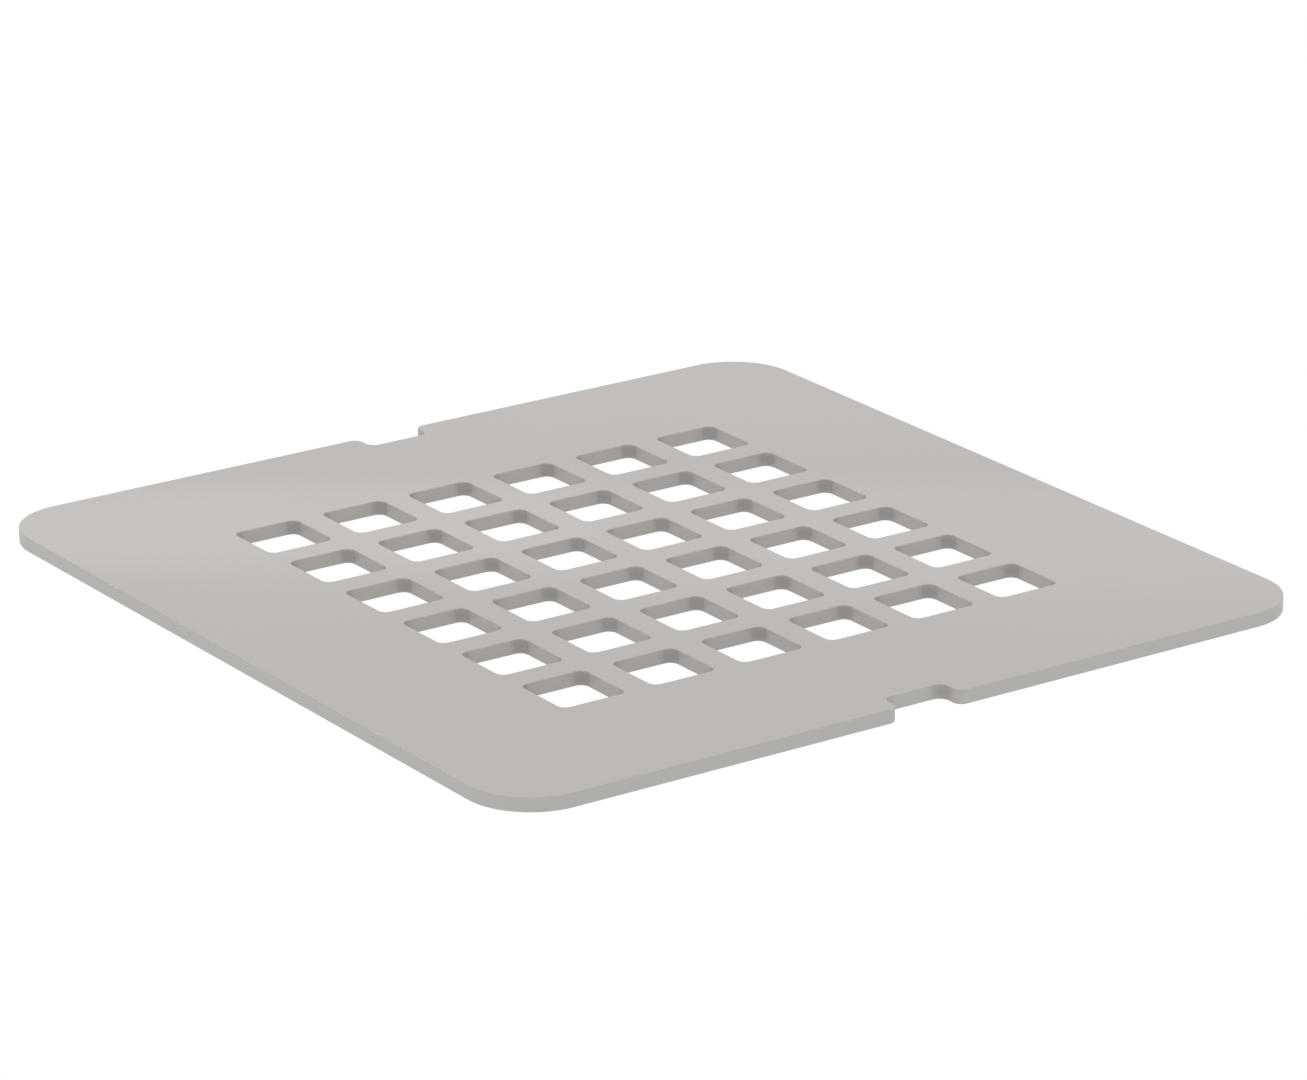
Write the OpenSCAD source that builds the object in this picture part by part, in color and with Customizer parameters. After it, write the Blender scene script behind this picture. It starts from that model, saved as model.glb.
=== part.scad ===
// Shower drain cover: one flat square plate of painted stainless sheet.
// It has rounded corners, a square grid of radiused drain holes, and a lifting
// notch in the middle of two opposite edges. A small bevel breaks every edge.
// The origin is the middle of the underside, and the top face is up.

/* [Plate] */
// Width of the square cover, across its flat edges
cover_w = 186.8; // [150:0.2:230]
// Thickness of the sheet
sheet_t = 3; // [1.5:0.5:5]
// Radius of the plate's four corners
corner_r = 13.7; // [6:0.1:24]
// Width of the small bevel that breaks every edge
edge_break = 0.15; // [0.1:0.05:0.5]

/* [Drain holes] */
// Number of holes along each side of the grid
holes_a_side = 6; // [3:1:7]
// Width of one square hole
hole_w = 14.5; // [8:0.5:16]
// Radius of a hole's corners
hole_r = 1.7; // [1:0.1:3.5]
// Width of the bar left between two holes
bar_w = 6; // [4:0.5:8]

/* [Lifting notches] */
// Width of a notch between its side walls
notch_w = 14; // [10:0.5:24]
// Depth of a notch, from the plate's edge to its root
notch_d = 5.3; // [5.3:0.1:9]
// Radius of the outward corners at a notch's mouth
mouth_r = 2; // [1.5:0.1:2.6]
// Radius of the inward corners at a notch's root
root_r = 2; // [1:0.1:2.6]

/* [Hidden] */
$fn = 96;
// Light warm grey of the paint
paint = [0.545, 0.515, 0.492];
// How far a cutter runs past the face that it cuts
overrun = 0.5;
hole_pitch = hole_w + bar_w;
first_hole = -(holes_a_side - 1) / 2 * hole_pitch;

// The shapes below go from z = low to z = high. The sizes given are those at z = 0, and each
// shape grows sideways by lean for each mm upwards: 0 is upright, 1 and -1 lean at 45 degrees

// A round post
module post(r, low, high, lean) {
    translate([0, 0, low])
        cylinder(h = high - low, r1 = r + lean * low, r2 = r + lean * high);
}

// A bar along Y, whose length doesn't grow
module bar(w, l, low, high, lean) {
    rotate([90, 0, 0])
        linear_extrude(l, center = true)
            polygon([for (p = [[-1, low], [1, low], [1, high], [-1, high]])
                [p[0] * (w / 2 + lean * p[1]), p[1]]]);
}

// A block with rounded upright corners
module rounded_block(w, l, r, low, high, lean) {
    bar(w, l - 2 * r, low, high, lean);
    rotate(90) bar(l, w - 2 * r, low, high, lean);
    for (x = [-1, 1], y = [-1, 1])
        translate([x * (w / 2 - r), y * (l / 2 - r), 0]) post(r, low, high, lean);
}

// Puts z = 0 where the bevels start, edge_break inside the underside (0) or the top face (1),
// with +Z out of the sheet
module at_bevel(face) {
    translate([0, 0, face * sheet_t])
        mirror([0, 0, 1 - face])
            translate([0, 0, -edge_break]) children();
}

// The plate before it is cut: what its two faces, its upright walls and its bevels enclose
module blank() {
    intersection() {
        translate([-cover_w, -cover_w, 0]) cube([2 * cover_w, 2 * cover_w, sheet_t]);
        rounded_block(cover_w, cover_w, corner_r, -overrun, sheet_t + overrun, 0);
        intersection_for (face = [0, 1])
            at_bevel(face)
                rounded_block(cover_w, cover_w, corner_r, -sheet_t, edge_break + overrun, -1);
    }
}

// What is cut away for a rounded opening through the sheet, with the bevels along its edges
module through_cut(w, l, r) {
    rounded_block(w, l, r, -overrun, sheet_t + overrun, 0);
    for (face = [0, 1])
        at_bevel(face) rounded_block(w, l, r, -overrun, edge_break + overrun, 1);
}

// The square grid of holes that the water goes through
module drain_holes() {
    for (i = [0 : holes_a_side - 1], j = [0 : holes_a_side - 1])
        translate([first_hole + i * hole_pitch, first_hole + j * hole_pitch, 0])
            through_cut(hole_w, hole_w, hole_r);
}

// The round of metal that stays at a corner of a notch's mouth, with its bevels
module mouth_round() {
    intersection() {
        post(mouth_r, -overrun, sheet_t + overrun, 0);
        intersection_for (face = [0, 1])
            at_bevel(face) post(mouth_r, -sheet_t, edge_break + overrun, -1);
    }
}

// What is cut away outside that round. The sharp corner that it takes off is at the origin
module mouth_corner_cut() {
    difference() {
        translate([0, -overrun, -2 * overrun])
            cube([mouth_r, mouth_r + overrun, sheet_t + 4 * overrun]);
        translate([mouth_r, mouth_r, 0]) mouth_round();
    }
}

// The notch in the front edge that a fingertip lifts the cover by. Its pocket has a rounded root
// and lies half outside the plate, and its mouth curves out into the edge
module lifting_notch() {
    translate([0, -cover_w / 2, 0]) {
        through_cut(notch_w, 2 * notch_d, root_r);
        for (side = [0, 1])
            mirror([side, 0, 0])
                translate([notch_w / 2, 0, 0]) mouth_corner_cut();
    }
}

module drain_cover() {
    color(paint) difference() {
        blank();
        drain_holes();
        for (turn = [0, 180]) rotate(turn) lifting_notch();
    }
}

drain_cover();
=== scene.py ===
from math import ceil, cos, pi, radians, sin, tan

import bmesh
import bpy
from mathutils import Matrix, Vector


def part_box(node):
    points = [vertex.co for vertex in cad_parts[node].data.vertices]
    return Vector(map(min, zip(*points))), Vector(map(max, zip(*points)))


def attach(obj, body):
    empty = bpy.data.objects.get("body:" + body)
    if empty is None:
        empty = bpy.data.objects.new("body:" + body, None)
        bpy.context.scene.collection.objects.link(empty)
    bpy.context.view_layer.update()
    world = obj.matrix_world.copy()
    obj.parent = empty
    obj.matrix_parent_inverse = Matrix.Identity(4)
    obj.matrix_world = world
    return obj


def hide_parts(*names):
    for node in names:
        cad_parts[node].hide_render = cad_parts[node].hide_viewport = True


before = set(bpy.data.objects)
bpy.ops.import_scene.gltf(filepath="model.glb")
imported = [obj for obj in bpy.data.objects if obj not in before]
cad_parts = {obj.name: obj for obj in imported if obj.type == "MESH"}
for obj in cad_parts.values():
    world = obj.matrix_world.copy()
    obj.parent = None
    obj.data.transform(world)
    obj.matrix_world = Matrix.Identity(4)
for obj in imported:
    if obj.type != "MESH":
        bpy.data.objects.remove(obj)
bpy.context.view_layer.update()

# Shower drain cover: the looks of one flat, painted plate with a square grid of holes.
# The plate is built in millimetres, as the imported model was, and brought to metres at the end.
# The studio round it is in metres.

MM = 0.001

# The plate in millimetres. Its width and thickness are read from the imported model
PLATE_NODE = "drain_cover"
plate_low, plate_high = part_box(PLATE_NODE)
COVER_W = (plate_high.x - plate_low.x) / MM
SHEET_T = (plate_high.z - plate_low.z) / MM
CORNER_R = 13.7

# How far the paint rounds every edge over, where the bare sheet has a bevel
EDGE_R = 0.15

# The square grid of drain holes
HOLES_A_SIDE = 6
HOLE_W = 14.5
HOLE_R = 1.7
BAR_W = 6
HOLE_PITCH = HOLE_W + BAR_W

# The two lifting notches, with corners that curve outwards at the mouth and inwards at the root
NOTCH_W = 14
NOTCH_D = 5.3
MOUTH_R = 2
ROOT_R = 2

# The longest turn between two points of a rounded corner, and the steps of an edge's rounding
CORNER_TURN = radians(5)
EDGE_STEPS = 5

# The camera, from the photograph: where it stands round the plate, and the point that it looks
# at, given as a shift to the right and up from the middle of the plate's underside
CAMERA_AZIMUTH = radians(-34.99)
CAMERA_ELEVATION = radians(19.785)
CAMERA_DISTANCE = 1.1995
AIM_RIGHT = 0.002374
AIM_UP = 0.00636
LENS = 167.33
SENSOR_W = 36

# The paint: a light warm grey with a soft sheen
PAINT_COLOUR = (0.545, 0.515, 0.492)
PAINT_ROUGHNESS = 0.12

# The paint's faint unevenness: its blotches, its grain and its ripple, in millimetres, and how
# far its tone and its roughness stray to either side
CLOUD_SIZE = 38
GRAIN_SIZE = 0.25
RIPPLE_SIZE = 0.9
RIPPLE_HEIGHT = 0.004
TONE_DRIFT = 0.03
ROUGHNESS_DRIFT = 0.03

# The shade painted into the paint's colour in the inward corners: how many times deeper it is
# than the share of the way out that the walls close off, and how far it reaches, in millimetres
PAINTED_SHADE_DEPTH = 1.8
PAINTED_SHADE_REACH = 2.5

# The studio. The room's even light and the floor's glow, as shares of white
ROOM_LIGHT = 0.698
FLOOR_GLOW = 0.615

# Half the floor's width, and how far it lies under the plate in millimetres
FLOOR_HALF = 4
FLOOR_DROP = 0.05

# The two strips that stand on the floor to the left and in front. Each is shifted along its wall
# away from the corner that is nearest to the camera, and their light is cool
STRIP_DISTANCE = 1.6
STRIP_SHIFT = 1.2
STRIP_LENGTH = 3.2
STRIP_HEIGHT = 0.04
STRIP_TINT = (0.75, 1, 1)

# The cards that the plate's sheen reflects: how far behind it they stand, as the camera sees it,
# how far they reach to either side, and where the left one meets the right one
CARD_DISTANCE = 0.22
CARD_REACH = 0.22
CARD_SEAM = -0.012


def rounded_outline(corners):
    """The points of a closed outline with rounded corners, each with the direction out of the metal.

    corners is a list of (x, y, radius). The metal lies to the left of the way round, so the edge
    of the plate goes counter-clockwise and the edge of a hole goes clockwise.
    """
    outline = []
    for k, (x, y, radius) in enumerate(corners):
        here = Vector((x, y))
        before = Vector(corners[k - 1][:2])
        after = Vector(corners[(k + 1) % len(corners)][:2])
        way_in = (here - before).normalized()
        way_out = (after - here).normalized()
        turn = way_out.angle_signed(way_in)
        side = 1 if turn > 0 else -1
        to_left = Vector((-way_in.y, way_in.x))
        centre = here - way_in * radius * tan(abs(turn) / 2) + to_left * radius * side
        steps = ceil(abs(turn) / CORNER_TURN)
        for step in range(steps + 1):
            spoke = Matrix.Rotation(turn * step / steps, 2) @ -to_left
            outline.append((centre + spoke * radius * side, spoke))
    return outline


def turned_about(corners):
    """The same corners on the far side of the plate, half a turn round its middle."""
    return [(-x, -y, radius) for x, y, radius in corners]


def plate_outline():
    """The plate's outer edge, counter-clockwise, with a lifting notch in the front and the back."""
    edge = COVER_W / 2
    root = edge - NOTCH_D
    wall = NOTCH_W / 2
    front = [
        (-edge, -edge, CORNER_R),
        (-wall, -edge, MOUTH_R),
        (-wall, -root, ROOT_R),
        (wall, -root, ROOT_R),
        (wall, -edge, MOUTH_R),
        (edge, -edge, CORNER_R),
    ]
    return rounded_outline(front + turned_about(front))


def hole_outline(x, y):
    """The edge of the drain hole whose middle is at (x, y), clockwise."""
    half = HOLE_W / 2
    ways = [(-1, -1), (-1, 1), (1, 1), (1, -1)]
    return rounded_outline([(x + half * i, y + half * j, HOLE_R) for i, j in ways])


def plate_outlines():
    """The outer edge, and the edges of all the holes."""
    first = -(HOLES_A_SIDE - 1) / 2 * HOLE_PITCH
    places = [first + k * HOLE_PITCH for k in range(HOLES_A_SIDE)]
    return [plate_outline()] + [hole_outline(x, y) for x in places for y in places]


def edge_profile():
    """The way down over an edge: (how far inside the outline, height, slope of the surface)."""
    turns = [pi / 2 * step / EDGE_STEPS for step in range(EDGE_STEPS + 1)]
    upper = [(EDGE_R * (1 - sin(a)), SHEET_T - EDGE_R * (1 - cos(a)), pi / 2 - a) for a in turns]
    lower = [(inset, SHEET_T - height, -slope) for inset, height, slope in reversed(upper)]
    return upper + lower


def make_plate():
    """The plate as one closed mesh: walls with rounded edges, between two flat faces."""
    mesh = bmesh.new()
    normals = []
    top_rims = []
    under_rims = []
    for outline in plate_outlines():
        rings = []
        for inset, height, slope in edge_profile():
            ring = []
            for point, outwards in outline:
                flat = point - outwards * inset
                ring.append(mesh.verts.new((flat.x, flat.y, height)))
                normals.append((*(outwards * cos(slope)), sin(slope)))
            rings.append(ring)
        for upper, lower in zip(rings, rings[1:]):
            for k in range(len(upper)):
                wall = mesh.faces.new((upper[k], upper[k - 1], lower[k - 1], lower[k]))
                wall.smooth = True
        top_rims.append(rings[0])
        under_rims.append(rings[-1])
    for rims in (top_rims, under_rims):
        fill_face(mesh, rims)
    bmesh.ops.recalc_face_normals(mesh, faces=mesh.faces)
    mesh.transform(Matrix.Scale(MM, 4))
    data = bpy.data.meshes.new("painted_plate")
    mesh.to_mesh(data)
    mesh.free()
    data.normals_split_custom_set_from_vertices(normals)
    plate = bpy.data.objects.new("painted_plate", data)
    bpy.context.collection.objects.link(plate)
    return plate


def fill_face(mesh, rims):
    """One flat face of the plate, between its outer rim and the rims of the holes."""
    edges = [mesh.edges.get((rim[k - 1], rim[k])) for rim in rims for k in range(len(rim))]
    bmesh.ops.triangle_fill(mesh, use_beauty=True, edges=edges)


def node(tree, kind, x, y, **settings):
    """A new shader node at (x, y) on the sheet, with its settings."""
    made = tree.nodes.new(kind)
    made.location = (x, y)
    for name, value in settings.items():
        setattr(made, name, value)
    return made


def noise(tree, place, size_mm, x, y, detail=2):
    """A noise whose blotches are about size_mm across, as a value from 0 to 1."""
    made = node(tree, "ShaderNodeTexNoise", x, y)
    made.inputs["Scale"].default_value = 1 / (size_mm * MM)
    made.inputs["Detail"].default_value = detail
    tree.links.new(place, made.inputs["Vector"])
    return made.outputs["Fac"]


def between(tree, value, low, high, x, y):
    """The value 0 to 1 brought to the range low to high."""
    made = node(tree, "ShaderNodeMapRange", x, y)
    made.inputs["To Min"].default_value = low
    made.inputs["To Max"].default_value = high
    tree.links.new(value, made.inputs["Value"])
    return made.outputs["Result"]


def grey_paint():
    """Sprayed grey paint: a soft sheen, a faint ripple, uneven tone, and shade painted into its
    colour in the corners.
    """
    material = bpy.data.materials.new("grey_paint")
    material.use_nodes = True
    tree = material.node_tree
    tree.nodes.clear()
    link = tree.links.new
    place = node(tree, "ShaderNodeTexCoord", -1000, 0).outputs["Object"]
    clouds = noise(tree, place, CLOUD_SIZE, -800, 200)
    grain = noise(tree, place, GRAIN_SIZE, -800, -50)
    ripple = noise(tree, place, RIPPLE_SIZE, -800, -300, detail=1)

    # The tone drifts a little over the plate, and as much in the fine grain
    mixed = node(tree, "ShaderNodeMath", -600, 100, operation="ADD")
    link(clouds, mixed.inputs[0])
    link(grain, mixed.inputs[1])
    shade = node(tree, "ShaderNodeMapRange", -400, 100)
    shade.inputs["From Max"].default_value = 2
    shade.inputs["To Min"].default_value = 1 - TONE_DRIFT
    shade.inputs["To Max"].default_value = 1 + TONE_DRIFT
    link(mixed.outputs[0], shade.inputs["Value"])

    # Shade is painted into the colour in the inward corners of the holes and the notches
    corners = node(tree, "ShaderNodeAmbientOcclusion", -600, 400, samples=16, only_local=True)
    corners.inputs["Distance"].default_value = PAINTED_SHADE_REACH * MM
    painted_corner_shade = node(tree, "ShaderNodeMapRange", -400, 400)
    painted_corner_shade.inputs["From Min"].default_value = 1 - 1 / PAINTED_SHADE_DEPTH
    link(corners.outputs["AO"], painted_corner_shade.inputs["Value"])
    tone_and_painted_shade = node(tree, "ShaderNodeMath", -200, 250, operation="MULTIPLY")
    link(painted_corner_shade.outputs["Result"], tone_and_painted_shade.inputs[0])
    link(shade.outputs["Result"], tone_and_painted_shade.inputs[1])
    colour = node(tree, "ShaderNodeVectorMath", 0, 250, operation="SCALE")
    colour.inputs[0].default_value = PAINT_COLOUR
    link(tone_and_painted_shade.outputs[0], colour.inputs["Scale"])

    smoothest = PAINT_ROUGHNESS - ROUGHNESS_DRIFT
    roughest = PAINT_ROUGHNESS + ROUGHNESS_DRIFT
    gloss = between(tree, grain, smoothest, roughest, -400, -100)
    bump = node(tree, "ShaderNodeBump", -200, -300)
    bump.inputs["Distance"].default_value = RIPPLE_HEIGHT * MM
    link(ripple, bump.inputs["Height"])

    paint = node(tree, "ShaderNodeBsdfPrincipled", 0, 0)
    output = node(tree, "ShaderNodeOutputMaterial", 300, 0)
    link(colour.outputs[0], paint.inputs["Base Color"])
    link(gloss, paint.inputs["Roughness"])
    link(bump.outputs["Normal"], paint.inputs["Normal"])
    link(paint.outputs[0], output.inputs["Surface"])
    return material


def floor_finish():
    """A glowing floor: white to the camera, a little less bright to all else, clear from below."""
    material = bpy.data.materials.new("white_floor")
    material.use_nodes = True

    # As a lamp, a floor so close under the plate would light the underside unevenly
    material.cycles.emission_sampling = "NONE"
    tree = material.node_tree
    tree.nodes.clear()
    link = tree.links.new
    seen = node(tree, "ShaderNodeLightPath", -400, 100)
    side = node(tree, "ShaderNodeNewGeometry", 0, 400)
    glow = node(tree, "ShaderNodeEmission", 0, 100)
    clear = node(tree, "ShaderNodeBsdfTransparent", 0, -50)
    mix = node(tree, "ShaderNodeMixShader", 200, 0)
    output = node(tree, "ShaderNodeOutputMaterial", 400, 0)
    strength = between(tree, seen.outputs["Is Camera Ray"], FLOOR_GLOW, 1, -200, 100)
    link(strength, glow.inputs["Strength"])
    link(side.outputs["Backfacing"], mix.inputs[0])
    link(glow.outputs[0], mix.inputs[1])
    link(clear.outputs[0], mix.inputs[2])
    link(mix.outputs[0], output.inputs["Surface"])
    return material


def make_floor():
    """A wide white floor, a hair under the plate."""
    ways = [(-1, -1), (1, -1), (1, 1), (-1, 1)]
    corners = [(x * FLOOR_HALF, y * FLOOR_HALF, -FLOOR_DROP * MM) for x, y in ways]
    data = bpy.data.meshes.new("floor")
    data.from_pydata(corners, [], [(0, 1, 2, 3)])
    data.materials.append(floor_finish())
    floor = bpy.data.objects.new("floor", data)
    bpy.context.collection.objects.link(floor)


def make_room_light():
    """The white room: white to the camera, and a soft even light to all else."""
    world = bpy.data.worlds.new("white_room")
    bpy.context.scene.world = world
    world.use_nodes = True
    tree = world.node_tree
    tree.nodes.clear()
    link = tree.links.new
    white = node(tree, "ShaderNodeBackground", 0, 100)
    soft = node(tree, "ShaderNodeBackground", 0, -50)
    white.inputs["Color"].default_value = (1, 1, 1, 1)
    soft.inputs["Color"].default_value = (ROOM_LIGHT, ROOM_LIGHT, ROOM_LIGHT, 1)
    seen = node(tree, "ShaderNodeLightPath", 0, 450)
    mix = node(tree, "ShaderNodeMixShader", 200, 50)
    output = node(tree, "ShaderNodeOutputWorld", 400, 0)
    link(seen.outputs["Is Camera Ray"], mix.inputs[0])
    link(soft.outputs[0], mix.inputs[1])
    link(white.outputs[0], mix.inputs[2])
    link(mix.outputs[0], output.inputs["Surface"])


def soft_box(name, middle, aim, width, height, brightness, tint=(1, 1, 1)):
    """A soft light that the camera doesn't see. Its brightness is a share of white."""
    data = bpy.data.lights.new(name, "AREA")
    data.shape = "RECTANGLE"
    data.size = width
    data.size_y = height
    data.energy = brightness * pi * width * height
    data.color = tint
    box = bpy.data.objects.new(name, data)
    bpy.context.collection.objects.link(box)
    box.location = middle
    box.rotation_mode = "QUATERNION"
    box.rotation_quaternion = (Vector(middle) - Vector(aim)).to_track_quat("Z", "Y")
    box.visible_camera = False


def reflected_card(name, left, right, low, high, brightness):
    """A light card behind the plate, as the camera sees it, for the soft bands in its sheen."""
    away = Vector((-sin(CAMERA_AZIMUTH), cos(CAMERA_AZIMUTH), 0))
    across = Vector((cos(CAMERA_AZIMUTH), sin(CAMERA_AZIMUTH), 0))
    up = Vector((0, 0, 1))
    middle = away * CARD_DISTANCE + across * (left + right) / 2 + up * (low + high) / 2
    soft_box(name, middle, middle - away, right - left, high - low, brightness)


def strip(name, outwards, along, brightness):
    """A low strip that lights one outer wall, which faces outwards and runs along."""
    aim = along * STRIP_SHIFT + Vector((0, 0, STRIP_HEIGHT / 2))
    middle = aim + outwards * STRIP_DISTANCE
    soft_box(name, middle, aim, STRIP_LENGTH, STRIP_HEIGHT, brightness, STRIP_TINT)


def make_soft_boxes():
    """Even light from above and the left, the strips on the floor, and the cards."""
    soft_box("above", (-0.2, -0.3, 1.3), (0, 0, 0), 1.4, 1.4, 0.575)
    soft_box("left", (-1.6, 0.2, 0.8), (0, 0, 0), 1.4, 1.2, 0.147)
    strip("left_strip", Vector((-1, 0, 0)), Vector((0, 1, 0)), 15.2)
    strip("front_strip", Vector((0, -1, 0)), Vector((1, 0, 0)), 13.1)
    reflected_card("low_card", -CARD_REACH, CARD_REACH, 0.03, 0.056, 0.127)
    reflected_card("left_card", -CARD_REACH, CARD_SEAM, 0.065, 0.086, 0.383)
    reflected_card("right_card", CARD_SEAM, CARD_REACH, 0.065, 0.092, 0.234)


def make_camera():
    """The camera of the photograph: a long lens, above one corner of the plate."""
    a, e = CAMERA_AZIMUTH, CAMERA_ELEVATION
    back = Vector((sin(a) * cos(e), -cos(a) * cos(e), sin(e)))
    right = Vector((0, 0, 1)).cross(back).normalized()
    up = back.cross(right)
    data = bpy.data.cameras.new("camera")
    data.lens = LENS
    data.sensor_width = SENSOR_W
    data.clip_start = 0.01
    data.clip_end = 50
    camera = bpy.data.objects.new("camera", data)
    bpy.context.collection.objects.link(camera)
    place = right * AIM_RIGHT + up * AIM_UP + back * CAMERA_DISTANCE
    turn = Matrix((right, up, back)).transposed()
    camera.matrix_world = Matrix.Translation(place) @ turn.to_4x4()
    bpy.context.scene.camera = camera


make_camera()
make_floor()
make_room_light()
make_soft_boxes()
plate = make_plate()
plate.data.materials.append(grey_paint())
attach(plate, "root")
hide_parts(PLATE_NODE)
bpy.context.scene.view_settings.view_transform = "Standard"
